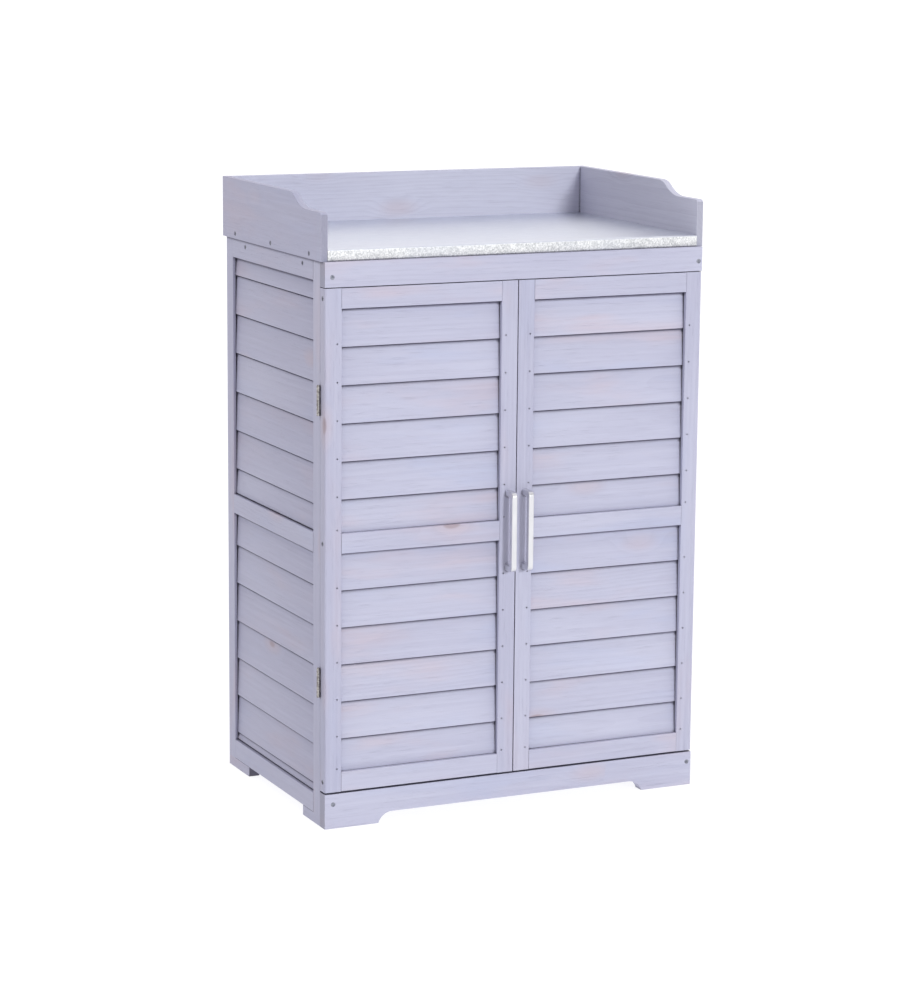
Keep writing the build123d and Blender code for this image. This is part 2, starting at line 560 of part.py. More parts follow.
for name, side in SIDES:
    outer_x = (side * HALF, side * (HALF - STILE_W))
    inner_x = (side * DOOR_GAP / 2, side * (DOOR_GAP / 2 + STILE_W))

    frame_screw_planes = [side_plane(side, Y_FRONT + DOOR_T / 2, z0 + RAIL_H / 2, HALF)
                          for _, z0 in DOOR_RAILS]
    with BuildPart() as outer_stile:
        with BuildSketch(Plane.XY.offset(DOOR_Z0)):
            with Locations((sum(outer_x) / 2, sum(DOOR_Y) / 2)):
                outline = Rectangle(STILE_W, DOOR_T)
            outer_corner = outline.vertices().sort_by(Axis.Y)[:2].sort_by(Axis.X)[0 if side < 0 else -1]
            fillet(outer_corner, DOOR_ARRIS)
        extrude(amount=DOOR_Z1 - DOOR_Z0)
        inner_edges = outer_stile.edges().filter_by(Axis.Z).group_by(Axis.X)[-1 if side < 0 else 0]
        fillet(inner_edges, ARRIS)
        with Locations(*[(side * (HALF - LEAF_W / 2), Y_DOOR_BACK - LEAF_T / 2, z) for z in HINGE_Z]):
            Box(LEAF_W, LEAF_T, HINGE_H, mode=Mode.SUBTRACT)
    cut_slat_rebates(outer_stile, side * (HALF - STILE_W + REBATE_W / 2))
    screw_holes(outer_stile, frame_screw_planes, STILE_W)
    save(outer_stile, f"{name}_door_outer_stile")
    save(screws(frame_screw_planes, FRAME_SCREW_L), f"{name}_door_frame_screws")

    inner_stile = board(inner_x, DOOR_Y, DOOR_Z, Axis.Z)
    cut_slat_rebates(inner_stile, inner_x[1] - side * REBATE_W / 2)
    with inner_stile:
        with Locations(*[back_plane(side * HANDLE_X, Y_DOOR_BACK, z) for z in HANDLE_Z]):
            Hole(MACHINE_SCREW_R + MACHINE_SCREW_CLEARANCE, depth=DOOR_T)
    save(inner_stile, f"{name}_door_inner_stile")

    rail_x = (outer_x[1], inner_x[1])
    for rail_name, z0 in DOOR_RAILS:
        save(board(rail_x, DOOR_Y, (z0, z0 + RAIL_H), Axis.X), f"{name}_door_{rail_name}_rail")

    slat_x = (min(rail_x) - SLAT_ENTRY, max(rail_x) + SLAT_ENTRY)
    slat_plane = Plane(origin=(slat_x[0], Y_FRONT, 0), x_dir=(0, 1, 0), z_dir=(1, 0, 0))
    door_slats = slats(slat_plane, DOOR_PANELS, slat_x[1] - slat_x[0], DOOR_LIP, DOOR_SLAT_THIN, 0)
    save(door_slats, f"{name}_door_slats")

    nail_x = (outer_x[1] + side * NAIL_IN, inner_x[1] - side * NAIL_IN)
    nail_z = [level + NAIL_UP for _, _, levels in DOOR_PANELS for level in levels]
    with BuildPart() as nails:
        with Locations(*[front_plane(x, z, 0) for x in nail_x for z in nail_z]):
            Cylinder(NAIL_R, NAIL_L, align=(Align.CENTER, Align.CENTER, Align.MAX))
            Cylinder(NAIL_HEAD_R, NAIL_HEAD_T, align=(Align.CENTER, Align.CENTER, Align.MAX))
    save(nails, f"{name}_door_nails")

    save(hinge_leaves((side,), Y_DOOR_BACK - LEAF_T, 1, 1, PIN_R + PIN_CLEARANCE),
         f"{name}_door_hinge_leaves")
    save(screws(hinge_screw_planes(side, 1), HINGE_SCREW_L, HINGE_SCREW_R, HINGE_SCREW_HEAD_R),
         f"{name}_door_hinge_screws")

    with BuildPart() as handle:
        bow_top = HANDLE_Z[1] + HANDLE_BAR / 2
        bow_foot = HANDLE_Z[0] - HANDLE_BAR / 2
        with BuildSketch(Plane.YZ.offset(side * HANDLE_X - HANDLE_BAR / 2)):
            with BuildLine():
                outside = FilletPolyline(
                    (Y_FRONT, bow_top),
                    (Y_FRONT - HANDLE_REACH, bow_top),
                    (Y_FRONT - HANDLE_REACH, bow_foot),
                    (Y_FRONT, bow_foot),
                    radius=HANDLE_ROUND,
                )
                inside = FilletPolyline(
                    (Y_FRONT, bow_foot + HANDLE_BAR),
                    (Y_BAR, bow_foot + HANDLE_BAR),
                    (Y_BAR, bow_top - HANDLE_BAR),
                    (Y_FRONT, bow_top - HANDLE_BAR),
                    radius=HANDLE_INSIDE_ROUND,
                )
                Line(outside @ 1, inside @ 0)
                Line(inside @ 1, outside @ 0)
            make_face()
        extrude(amount=HANDLE_BAR)
        long_edges = handle.edges().filter_by(Axis.X, reverse=True)
        fillet(long_edges.group_by(lambda edge: edge.center().Y < Y_FRONT - HANDLE_EDGE)[-1], HANDLE_EDGE)
        with Locations(*[back_plane(side * HANDLE_X, Y_FRONT, z) for z in HANDLE_Z]):
            Hole(MACHINE_SCREW_R, depth=HANDLE_HOLE_DEEP)
    save(handle, f"{name}_handle")

    with BuildPart() as handle_screws:
        with Locations(*[back_plane(side * HANDLE_X, Y_DOOR_BACK, z) for z in HANDLE_Z]):
            Cylinder(MACHINE_SCREW_R, DOOR_T + MACHINE_SCREW_INTO,
                     align=(Align.CENTER, Align.CENTER, Align.MAX))
            Cylinder(PAN_HEAD_R, PAN_HEAD_T, align=(Align.CENTER, Align.CENTER, Align.MIN))
    save(handle_screws, f"{name}_handle_screws")

    with BuildPart() as strike:
        strike_z = SHELF_Z - CATCH_H / 2
        with Locations((side * CATCH_X, Y_DOOR_BACK + STRIKE_T / 2, strike_z)):
            Box(STRIKE_W, STRIKE_T, STRIKE_H)
        fillet(strike.edges().filter_by(Axis.Y), STRIKE_ROUND)
        with Locations(*[back_plane(side * CATCH_X + dx, Y_DOOR_BACK, strike_z)
                         for dx in (-SPUR_DX, SPUR_DX)]):
            Cylinder(SPUR_R, SPUR_L, align=(Align.CENTER, Align.CENTER, Align.MAX))
    save(strike, f"{name}_strike_plate")
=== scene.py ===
"""Looks of the potting bench: washed softwood, a galvanised worktop, aluminium handles and steel
fittings.

Lengths are metres. X runs to the right across the front, the doors face -Y and Z is up. A pattern's
scale is in features per metre: on wood first along the grain and then across it, elsewhere along X,
Y and Z.
"""
import math
import random

import bpy
from mathutils import Matrix, Vector


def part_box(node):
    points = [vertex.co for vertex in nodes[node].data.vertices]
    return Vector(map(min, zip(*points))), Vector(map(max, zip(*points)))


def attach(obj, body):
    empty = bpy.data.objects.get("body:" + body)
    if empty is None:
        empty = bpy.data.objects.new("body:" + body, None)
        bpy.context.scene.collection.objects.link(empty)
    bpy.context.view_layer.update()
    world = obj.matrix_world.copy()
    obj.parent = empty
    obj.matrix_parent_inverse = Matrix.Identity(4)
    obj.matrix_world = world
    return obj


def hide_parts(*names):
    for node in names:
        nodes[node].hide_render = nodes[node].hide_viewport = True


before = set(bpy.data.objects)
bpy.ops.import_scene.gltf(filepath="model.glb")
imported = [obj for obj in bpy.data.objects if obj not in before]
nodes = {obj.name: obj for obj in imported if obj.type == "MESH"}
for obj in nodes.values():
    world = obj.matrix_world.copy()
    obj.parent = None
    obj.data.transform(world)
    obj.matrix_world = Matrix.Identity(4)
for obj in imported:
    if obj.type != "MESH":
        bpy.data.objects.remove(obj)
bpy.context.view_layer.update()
sawing = random.Random(7)                   # how the planks were cut and laid

MM = 0.001
NEAR = 0.01 * MM                            # places closer than this are the same
ROUNDED_UNDER = math.radians(40)            # edges flatter than this are shaded as one curve


# ---- shader nodes -------------------------------------------------------------------------------
def feed(tree, socket, value):
    """Give a socket a value, or link another node's output to it."""
    if isinstance(value, bpy.types.NodeSocket):
        tree.links.new(value, socket)
    else:
        socket.default_value = value


def put(tree, kind, settings=None, **inputs):
    """Add a node, choose its settings and feed its inputs by name."""
    made = tree.nodes.new("ShaderNode" + kind)
    for setting, value in (settings or {}).items():
        setattr(made, setting, value)
    for name, value in inputs.items():
        feed(tree, made.inputs[name.replace("_", " ")], value)
    return made


def calc(tree, operation, *values):
    """One sum on plain numbers."""
    made = put(tree, "Math", {"operation": operation})
    for socket, value in zip(made.inputs, values):
        feed(tree, socket, value)
    return made.outputs[0]


def calc_vector(tree, operation, *values):
    """One sum on vectors."""
    made = put(tree, "VectorMath", {"operation": operation})
    for socket, value in zip(made.inputs, values):
        feed(tree, socket, value)
    return made.outputs[0]


def calc_dot(tree, one, other):
    """How far two directions agree."""
    made = put(tree, "VectorMath", {"operation": "DOT_PRODUCT"})
    feed(tree, made.inputs[0], one)
    feed(tree, made.inputs[1], other)
    return made.outputs["Value"]


def spread(tree, value, low, high, to_low=0.0, to_high=1.0):
    """Stretch the part of a pattern between low and high over a new range, and clamp it."""
    made = put(tree, "MapRange", {"interpolation_type": "SMOOTHSTEP"}, Value=value)
    made.inputs["From Min"].default_value = low
    made.inputs["From Max"].default_value = high
    made.inputs["To Min"].default_value = to_low
    made.inputs["To Max"].default_value = to_high
    return made.outputs["Result"]


def tint(tree, amount, under, over):
    """Lay one colour over another by an amount."""
    made = put(tree, "Mix", {"data_type": "RGBA"})
    factor, below, above = made.inputs[0], made.inputs[6], made.inputs[7]
    feed(tree, factor, amount)
    feed(tree, below, under)
    feed(tree, above, over)
    return made.outputs[2]


def cloud(tree, place, scale, detail=2.0, roughness=0.5):
    """Soft noise over a place."""
    stretched = calc_vector(tree, "MULTIPLY", place, scale)
    noise = put(tree, "TexNoise", Vector=stretched, Scale=1.0, Detail=detail, Roughness=roughness)
    return noise.outputs[0]


def on_the_piece(tree):
    """Places in the piece's own axes."""
    return put(tree, "TexCoord").outputs["Object"]


def new_finish(name, roughness, metallic=0.0):
    """A material with its tree and its shader, before any pattern."""
    material = bpy.data.materials.new(name)
    material.use_nodes = True
    tree = material.node_tree
    shader = tree.nodes["Principled BSDF"]
    shader.inputs["Roughness"].default_value = roughness
    shader.inputs["Metallic"].default_value = metallic
    return material, tree, shader


def relief(tree, shader, height, depth):
    """Let a pattern of heights from 0 to 1 stand that many metres proud of the surface."""
    bump = put(tree, "Bump", Height=height, Distance=depth, Strength=1.0)
    tree.links.new(bump.outputs[0], shader.inputs["Normal"])


# ---- washed softwood ----------------------------------------------------------------------------
WASH = (0.485, 0.488, 0.628, 1)             # lilac-grey stain
WASH_BLUE = (0.462, 0.484, 0.650, 1)        # where it lies thick
WASH_THIN = (0.545, 0.478, 0.570, 1)        # where the wood shows through
WASH_DARK = (0.355, 0.350, 0.480, 1)      # stain gathered in the open grain; painted shade on the side slats and the left gallery board
WASH_PALE = (0.600, 0.605, 0.735, 1)     # brush marks left by the wash; painted light on the gallery's back and right boards
PAINTED_CORNER_SHADE = (0.105, 0.098, 0.150, 1)      # painted shade in corners and grooves
END_GRAIN = (0.085, 0.080, 0.115, 1)        # stain drawn deep into the cut ends; on the foot blocks' ends, mostly painted shade
KNOT_HEART = (0.330, 0.245, 0.270, 1)
KNOT_HALO = (0.530, 0.430, 0.480, 1)        # redder wood round a knot

KNOT_CELLS = (6.5, 15, 15)                  # each cell may hold a knot
KNOTTY_OVER = (0.76, 0.78)                  # cells whose lot is over this do hold one
RING_WAVER = (1.8, 9, 9)
FIBRES = (11, 700, 700)
PORES = (24, 1000, 1000)
PATCHES = (3.6, 15, 15)                     # thick and thin wash
BRUSHING = (5, 170, 170)
FADING = (1.5, 4, 4)                        # broad areas, paler and darker

RINGS = 150.0                               # growth rings per metre from the pith
RING_SWAY = 0.026                           # how far the rings waver along the plank
KNOT_SWAY = 0.012                           # and bend round a knot
GRAIN_RELIEF = 0.20 * MM
SHADE_REACH = 8 * MM                         # painted shade reaches this far from an inner corner
SHADE_LEANS_UP = (0, 0, 0.7)                       # looks for corners overhead, so the painted shade falls under rails and not on ledges
ENDS_TAKE = 0.36                            # of the end grain's stain, on a sanded end
FEET_ENDS_STAIN_AND_SHADE = 0.95                       # and on the foot blocks' ends, darkened nearly black: end-grain stain and painted shade

GRAIN_TURN = {                              # turns each grain direction onto X
    "X": (0, 0, 0),
    "Y": (0, 0, -math.pi / 2),
    "Z": (0, math.pi / 2, 0),
}
GRAIN_WAY = {"X": (1, 0, 0), "Y": (0, 1, 0), "Z": (0, 0, 1)}


def in_the_plank(tree, grain, cut_from):
    """Places on a board, its grain turned onto X and moved to where it was cut from: one place, or
    the plank written on each board of the mesh."""
    turned = put(tree, "Mapping", Vector=on_the_piece(tree), Rotation=GRAIN_TURN[grain]).outputs[0]
    if cut_from is None:
        cut_from = put(tree, "Attribute", {"attribute_name": "plank"}).outputs["Vector"]
    return calc_vector(tree, "ADD", turned, cut_from)


def knots_in(tree, place):
    """How far each place is from a knot's heart, and whether there is a knot there at all."""
    cells = calc_vector(tree, "MULTIPLY", place, KNOT_CELLS)
    cell = put(tree, "TexVoronoi", Vector=cells, Scale=1.0, Randomness=0.9)
    lot = put(tree, "SeparateColor", Color=cell.outputs["Color"]).outputs[0]
    return cell.outputs["Distance"], spread(tree, lot, *KNOTTY_OVER)


def late_wood_in(tree, place, bend):
    """Darker edges of the growth rings, wavering along the plank and bending round its knots."""
    waver = cloud(tree, place, RING_WAVER)
    sway = calc(tree, "MULTIPLY_ADD", waver, RING_SWAY, calc(tree, "MULTIPLY", bend, KNOT_SWAY))
    axes = put(tree, "SeparateXYZ", Vector=place)
    across = calc(tree, "POWER", calc(tree, "ADD", axes.outputs[1], sway), 2.0)
    upwards = calc(tree, "POWER", calc(tree, "ADD", axes.outputs[2], sway), 2.0)
    from_pith = calc(tree, "SQRT", calc(tree, "ADD", across, upwards))
    rings = calc(tree, "FRACT", calc(tree, "MULTIPLY", from_pith, RINGS))
    return spread(tree, rings, 0.30, 1.0)


def wash_on(tree, place, stain_and_light):
    """The wash itself, thick and thin in patches, and darker or paler over the whole board: real
    stain on the frame, painted shade on the side slats and the gallery's left board, painted light
    on its back and right boards.
    """
    patches = cloud(tree, place, PATCHES, 3.0, 0.55)
    colour = tint(tree, spread(tree, patches, 0.46, 0.30, to_high=0.80), WASH, WASH_BLUE)
    colour = tint(tree, spread(tree, patches, 0.52, 0.74, to_high=0.85), colour, WASH_THIN)
    # darker or paler over the whole board: real stain on the frame, painted shade and painted light
    # on the side slats and gallery
    if stain_and_light:
        colour = tint(tree, abs(stain_and_light), colour, WASH_DARK if stain_and_light > 0 else WASH_PALE)
    return colour


def grain_over(tree, colour, late_wood, fibres, pores):
    """Stain gathered in the late wood, along the fibres and in the open pores."""
    colour = tint(tree, calc(tree, "MULTIPLY", late_wood, 0.15), colour, WASH_DARK)
    colour = tint(tree, spread(tree, fibres, 0.48, 0.80, to_high=0.34), colour, WASH_DARK)
    return tint(tree, calc(tree, "MULTIPLY", pores, 0.28), colour, WASH_DARK)


def brushing_over(tree, colour, place, brushed):
    """Brush marks, and broad areas where more or less of the wash has stayed."""
    faded = cloud(tree, place, FADING, 1.0)
    colour = tint(tree, spread(tree, brushed, 0.38, 0.75, to_high=0.26), colour, WASH_PALE)
    colour = tint(tree, spread(tree, faded, 0.30, 0.50, 0.14, 0.0), colour, WASH_DARK)
    return tint(tree, spread(tree, faded, 0.50, 0.70, to_high=0.20), colour, WASH_PALE)


def knots_over(tree, colour, from_knot, is_knot):
    """Redder wood round each knot, and its dark heart."""
    halo = calc(tree, "MULTIPLY", spread(tree, from_knot, 0.36, 0.10), is_knot)
    heart = calc(tree, "MULTIPLY", spread(tree, from_knot, 0.13, 0.07), is_knot)
    colour = tint(tree, calc(tree, "MULTIPLY", halo, 0.40), colour, KNOT_HALO)
    return tint(tree, calc(tree, "MULTIPLY", heart, 0.62), colour, KNOT_HEART)


def ends_over(tree, colour, grain, ends):
    """Darker stain on the faces that cut across the grain; on the foot blocks' ends, mostly painted
    shade.
    """
    facing = put(tree, "TexCoord").outputs["Normal"]
    along_grain = calc(tree, "ABSOLUTE", calc_dot(tree, facing, GRAIN_WAY[grain]))
    return tint(tree, spread(tree, along_grain, 0.80, 0.95, to_high=ends), colour, END_GRAIN)


def painted_corner_shade_over(tree, colour):
    """Painted shade in the corners under slats and rails, and in the grooves, where little light
    reaches.
    """
    normal = put(tree, "NewGeometry").outputs["Normal"]
    leaning_up = calc_vector(tree, "NORMALIZE", calc_vector(tree, "ADD", normal, SHADE_LEANS_UP))
    corner = put(tree, "AmbientOcclusion", {"samples": 8}, Distance=SHADE_REACH, Normal=leaning_up)
    shaded = spread(tree, corner.outputs["AO"], 0.72, 0.42, to_high=0.88)
    return tint(tree, shaded, colour, PAINTED_CORNER_SHADE)


def washed_wood(name, grain, cut_from=None, stain_and_light=0.0, ends=ENDS_TAKE):
    """Fir under a thin lilac-grey wash. The grain runs along X, Y or Z. Boards with a higher amount
    are darker, and those below 0 paler: real stain on the frame, painted shade on the side slats
    and the gallery's left board, painted light on its back and right boards. Their end grain is
    darkest, with painted shade on the foot blocks' ends, and painted shade lies in corners and
    grooves."""
    material, tree, shader = new_finish(name, 0.62)
    place = in_the_plank(tree, grain, cut_from)
    from_knot, is_knot = knots_in(tree, place)
    bend = calc(tree, "MULTIPLY", spread(tree, from_knot, 0.05, 0.5, 1.0, 0.0), is_knot)
    late_wood = late_wood_in(tree, place, bend)
    fibres = cloud(tree, place, FIBRES, 3.0, 0.6)
    pores = spread(tree, cloud(tree, place, PORES, 1.0), 0.62, 0.78)
    brushed = cloud(tree, place, BRUSHING, 2.0, 0.6)

    colour = wash_on(tree, place, stain_and_light)
    colour = grain_over(tree, colour, late_wood, fibres, pores)
    colour = brushing_over(tree, colour, place, brushed)
    colour = knots_over(tree, colour, from_knot, is_knot)
    colour = ends_over(tree, colour, grain, ends)
    # painted shade in the corners and grooves
    colour = painted_corner_shade_over(tree, colour)
    tree.links.new(colour, shader.inputs["Base Color"])

    feed(tree, shader.inputs["Roughness"], spread(tree, brushed, 0.3, 0.7, 0.52, 0.72))
    proud = calc(tree, "MULTIPLY_ADD", late_wood, 0.4, calc(tree, "MULTIPLY", fibres, 0.6))
    relief(tree, shader, calc(tree, "SUBTRACT", proud, pores), GRAIN_RELIEF)
    return material


def random_plank():
    """Where in the log a board was cut: along its grain, and off the pith each way."""
    along = sawing.uniform(-4, 4)
    return Vector((along, sawing.uniform(0.03, 0.09), sawing.uniform(-0.09, 0.09)))


def plank_for(centre, grain):
    """Moves the board's middle to a random place in the log, in the turned grain's axes."""
    turned = {
        "X": centre,
        "Y": Vector((centre.y, -centre.x, centre.z)),
        "Z": Vector((centre.z, centre.y, -centre.x)),
    }[grain]
    return random_plank() - turned


# ---- galvanised sheet ---------------------------------------------------------------------------
DARK_CRYSTAL = (0.45, 0.46, 0.48, 1)
BRIGHT_CRYSTAL = (0.84, 0.84, 0.85, 1)
# the top face's paler, bluer colour: a painted reflection of the bright room
ZINC_TOP_SHEEN = (0.69, 0.715, 0.785, 1)
ZINC_TOP_SHEEN_PALE = (0.72, 0.745, 0.81, 1)
ZINC_BLOOM = (0.66, 0.69, 0.78, 1)          # dull oxide in soft clouds
LARGE_CRYSTALS = 110.0
SMALL_CRYSTALS = 480.0
CRYSTAL_RELIEF = 0.014 * MM


def galvanised(name):
    """Hot-dip zinc: fine bright crystals that each tilt a little, plain on the bent-down front and
    smoother on top, where its paler, bluer colour is a painted reflection."""
    material, tree, shader = new_finish(name, 0.30, 1.0)
    place = on_the_piece(tree)
    normal = put(tree, "NewGeometry").outputs["Normal"]
    facing_up = spread(tree, put(tree, "SeparateXYZ", Vector=normal).outputs[2], 0.05, 0.6)
    large = put(tree, "TexVoronoi", Vector=place, Scale=LARGE_CRYSTALS)
    small = put(tree, "TexVoronoi", Vector=place, Scale=SMALL_CRYSTALS)
    large_tone = put(tree, "SeparateColor", Color=large.outputs["Color"]).outputs[0]
    small_tone = put(tree, "SeparateColor", Color=small.outputs["Color"]).outputs[1]
    mostly_large = calc(tree, "MULTIPLY", large_tone, 0.25)
    crystals = calc(tree, "MULTIPLY_ADD", small_tone, 0.75, mostly_large)
    bloom = cloud(tree, place, (7, 12, 12), 3.0)

    front = tint(tree, crystals, DARK_CRYSTAL, BRIGHT_CRYSTAL)
    # plain, paler and bluer on top: painted reflection
    top = tint(tree, large_tone, ZINC_TOP_SHEEN, ZINC_TOP_SHEEN_PALE)
    colour = tint(tree, facing_up, front, top)
    colour = tint(tree, spread(tree, bloom, 0.50, 0.75, to_high=0.20), colour, ZINC_BLOOM)
    tree.links.new(colour, shader.inputs["Base Color"])

    polish = calc(tree, "MULTIPLY_ADD", bloom, 0.14, calc(tree, "MULTIPLY", facing_up, -0.17))
    feed(tree, shader.inputs["Roughness"], calc(tree, "ADD", polish, 0.50))
    not_facing_up = calc(tree, "SUBTRACT", 1.0, facing_up)
    relief(tree, shader, calc(tree, "MULTIPLY", crystals, not_facing_up), CRYSTAL_RELIEF)
    return material


# ---- handles and fittings -----------------------------------------------------------------------
ALUMINIUM = (0.66, 0.66, 0.69, 1)
ALUMINIUM_BRIGHT = (0.80, 0.80, 0.83, 1)
GRIME = (0.10, 0.09, 0.09, 1)
CATCH_WHITE = (0.74, 0.73, 0.70, 1)
CATCH_YELLOWED = (0.68, 0.65, 0.58, 1)


def satin_aluminium(name):
    """Bright bar metal, brushed along its length and dulled a little where it is held."""
    material, tree, shader = new_finish(name, 0.34, 1.0)
    place = on_the_piece(tree)
    brushing = cloud(tree, place, (2600, 2600, 40), 2.0, 0.6)
    handling = cloud(tree, place, (70, 70, 28), 3.0)
    colour = tint(tree, brushing, ALUMINIUM, ALUMINIUM_BRIGHT)
    tree.links.new(colour, shader.inputs["Base Color"])
    feed(tree, shader.inputs["Roughness"], spread(tree, handling, 0.3, 0.7, 0.28, 0.44))
    relief(tree, shader, brushing, 0.02 * MM)
    return material


def plated_steel(name, bright, dull, grime):
    """Zinc-plated steel with darker specks and old handling marks."""
    material, tree, shader = new_finish(name, 0.4, 1.0)
    place = on_the_piece(tree)
    plating = cloud(tree, place, (260, 260, 260), 3.0)
    specks = spread(tree, cloud(tree, place, (900, 900, 900), 1.0), 0.62, 0.72)
    colour = tint(tree, spread(tree, plating, 0.35, 0.65), bright, dull)
    colour = tint(tree, calc(tree, "MULTIPLY", specks, grime), colour, GRIME)
    tree.links.new(colour, shader.inputs["Base Color"])
    feed(tree, shader.inputs["Roughness"], spread(tree, plating, 0.3, 0.7, 0.32, 0.55))
    relief(tree, shader, plating, 0.03 * MM)
    return material


def moulded_plastic(name):
    """Off-white catch housings with a fine spark-eroded texture."""
    material, tree, shader = new_finish(name, 0.5)
    place = on_the_piece(tree)
    texture = cloud(tree, place, (1800, 1800, 1800))
    yellowing = cloud(tree, place, (40, 40, 40))
    colour = tint(tree, yellowing, CATCH_WHITE, CATCH_YELLOWED)
    tree.links.new(colour, shader.inputs["Base Color"])
    feed(tree, shader.inputs["Roughness"], spread(tree, texture, 0.3, 0.7, 0.45, 0.6))
    relief(tree, shader, texture, 0.02 * MM)
    return material


# ---- working on meshes --------------------------------------------------------------------------
def only(piece):
    """Select one piece and nothing else, and make it the one worked on."""
    bpy.ops.object.select_all(action="DESELECT")
    piece.select_set(True)
    bpy.context.view_layer.objects.active = piece


def finish_with(piece, material):
    """Give a piece one material."""
    piece.data.materials.clear()
    piece.data.materials.append(material)


def middle(piece):
    """The middle of a piece's own box."""
    corners = [Vector(corner) for corner in piece.bound_box]
    return (corners[0] + corners[6]) / 2


# ---- lapped slats and back boards ---------------------------------------------------------------
SLAT_EASED = 0.7 * MM                       # round on a slat's edges
BACK_EASED = 0.5 * MM
DOOR_SLAT_LEAN = 0.16                       # degrees that a slat may be out of level
SIDE_SLAT_LEAN = 0.10
BACK_LEAN = 0.02
EASED_OVER = math.radians(35)               # edges sharper than this are eased
LEAN_ABOUT = {"X": "Y", "Y": "X", "Z": "Y"}  # the axis through the face, for each grain direction


def boards_of(node, name):
    """A copy of a node of several boards, merged and taken apart into its boards."""
    merged = bpy.data.objects.new(name, nodes[node].data.copy())
    bpy.context.scene.collection.objects.link(merged)
    only(merged)
    bpy.ops.object.mode_set(mode="EDIT")
    bpy.ops.mesh.select_all(action="SELECT")
    bpy.ops.mesh.customdata_custom_splitnormals_clear()
    bpy.ops.mesh.remove_doubles(threshold=NEAR)
    bpy.ops.mesh.dissolve_limited(angle_limit=math.radians(1))
    bpy.ops.mesh.separate(type="LOOSE")
    bpy.ops.object.mode_set(mode="OBJECT")
    return list(bpy.context.selected_objects)


def ease(board, width):
    """Round a board's sharp edges over, as sanding leaves them."""
    only(board)
    bevel = board.modifiers.new("eased edges", "BEVEL")
    bevel.width = width
    bevel.segments = 2
    bevel.limit_method = "ANGLE"
    bevel.angle_limit = EASED_OVER
    bpy.ops.object.modifier_apply(modifier=bevel.name)
    bpy.ops.object.shade_smooth_by_angle(angle=ROUNDED_UNDER)


def write_plank(board, plank):
    """Write on a board where it was cut from."""
    field = board.data.attributes.new("plank", "FLOAT_VECTOR", "POINT")
    for item in field.data:
        item.vector = plank


def join(boards, name):
    """Make one piece of the boards again."""
    bpy.ops.object.select_all(action="DESELECT")
    for board in boards:
        board.select_set(True)
    bpy.context.view_layer.objects.active = boards[0]
    bpy.ops.object.join()
    piece = bpy.context.view_layer.objects.active
    piece.name = name
    return piece


def fitted_boards(node, name, body, material, grain, lean, eased):
    """Boards as they were really nailed in: edges eased, none of them quite level, each from its
    own plank."""
    boards = boards_of(node, name)
    boards.sort(key=lambda board: (round(middle(board).z, 3), middle(board).x))
    for board in boards:
        centre = middle(board)
        lean_by = math.radians(sawing.uniform(-lean, lean))
        tilt = Matrix.Rotation(lean_by, 4, LEAN_ABOUT[grain])
        board.data.transform(Matrix.Translation(centre) @ tilt @ Matrix.Translation(-centre))
        ease(board, eased)
        write_plank(board, plank_for(centre, grain))
    piece = join(boards, name)
    finish_with(piece, material)
    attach(piece, body)
    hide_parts(node)
    return piece


# ---- the worktop's sheet ------------------------------------------------------------------------
SHEET_THICKNESS = 0.6 * MM
SHEET_BEND = 2.6 * MM                       # where it turns down over the front edge
SHEET_SAG = 0.16 * MM                       # deepest dip of the top
SAG_STARTS = 0.06                           # full depth this far from the edges
LIP_BOW = 0.10 * MM                         # of the bent-down front, in and out


def flat_sheet(low, high):
    """A flat grid as wide and deep as the worktop, at the height of its upper face."""
    bpy.ops.object.select_all(action="DESELECT")
    bpy.ops.mesh.primitive_grid_add(x_subdivisions=60, y_subdivisions=40, size=1)
    sheet = bpy.context.object
    sheet.name = "worktop_sheet"
    sheet.scale = (high.x - low.x, high.y - low.y, 1)
    sheet.location = ((low.x + high.x) / 2, (low.y + high.y) / 2, high.z)
    bpy.ops.object.transform_apply(location=True, rotation=False, scale=True)
    return sheet


def bend_down(sheet, low, high):
    """Draw the front edge down over the board, and round the bend."""
    for vertex in sheet.data.vertices:
        vertex.select = vertex.co.y < low.y + NEAR
    bpy.ops.object.mode_set(mode="EDIT")
    bpy.ops.mesh.select_mode(type="VERT")
    bpy.ops.mesh.select_mode(type="EDGE")
    bpy.ops.mesh.extrude_region_move(TRANSFORM_OT_translate={"value": (0, 0, low.z - high.z)})
    bpy.ops.object.mode_set(mode="OBJECT")
    for edge in sheet.data.edges:
        ends = [sheet.data.vertices[index].co for index in edge.vertices]
        edge.select = all(end.y < low.y + NEAR and end.z > high.z - NEAR for end in ends)
    bpy.ops.object.mode_set(mode="EDIT")
    bpy.ops.mesh.bevel(offset=SHEET_BEND, segments=6, profile=0.5)
    bpy.ops.object.mode_set(mode="OBJECT")


def dent(sheet, low, high):
    """Let the top sag unevenly between its edges, and the bent-down front bow a little."""
    for vertex in sheet.data.vertices:
        place = vertex.co
        to_edge = min(place.x - low.x, high.x - place.x, high.y - place.y, SAG_STARTS)
        depth_here = max(to_edge / SAG_STARTS, 0)
        swell = math.sin(place.x * 19 + 1.1) * math.sin(place.y * 23 + 0.4)
        swell += 0.5 * math.sin(place.x * 43 + place.y * 17)
        if place.z > high.z - NEAR:
            place.z -= SHEET_SAG * depth_here * (1.5 + swell) / 3
        elif place.z < high.z - 3 * MM:
            place.y += LIP_BOW * (1 + math.sin(place.x * 31)) / 2


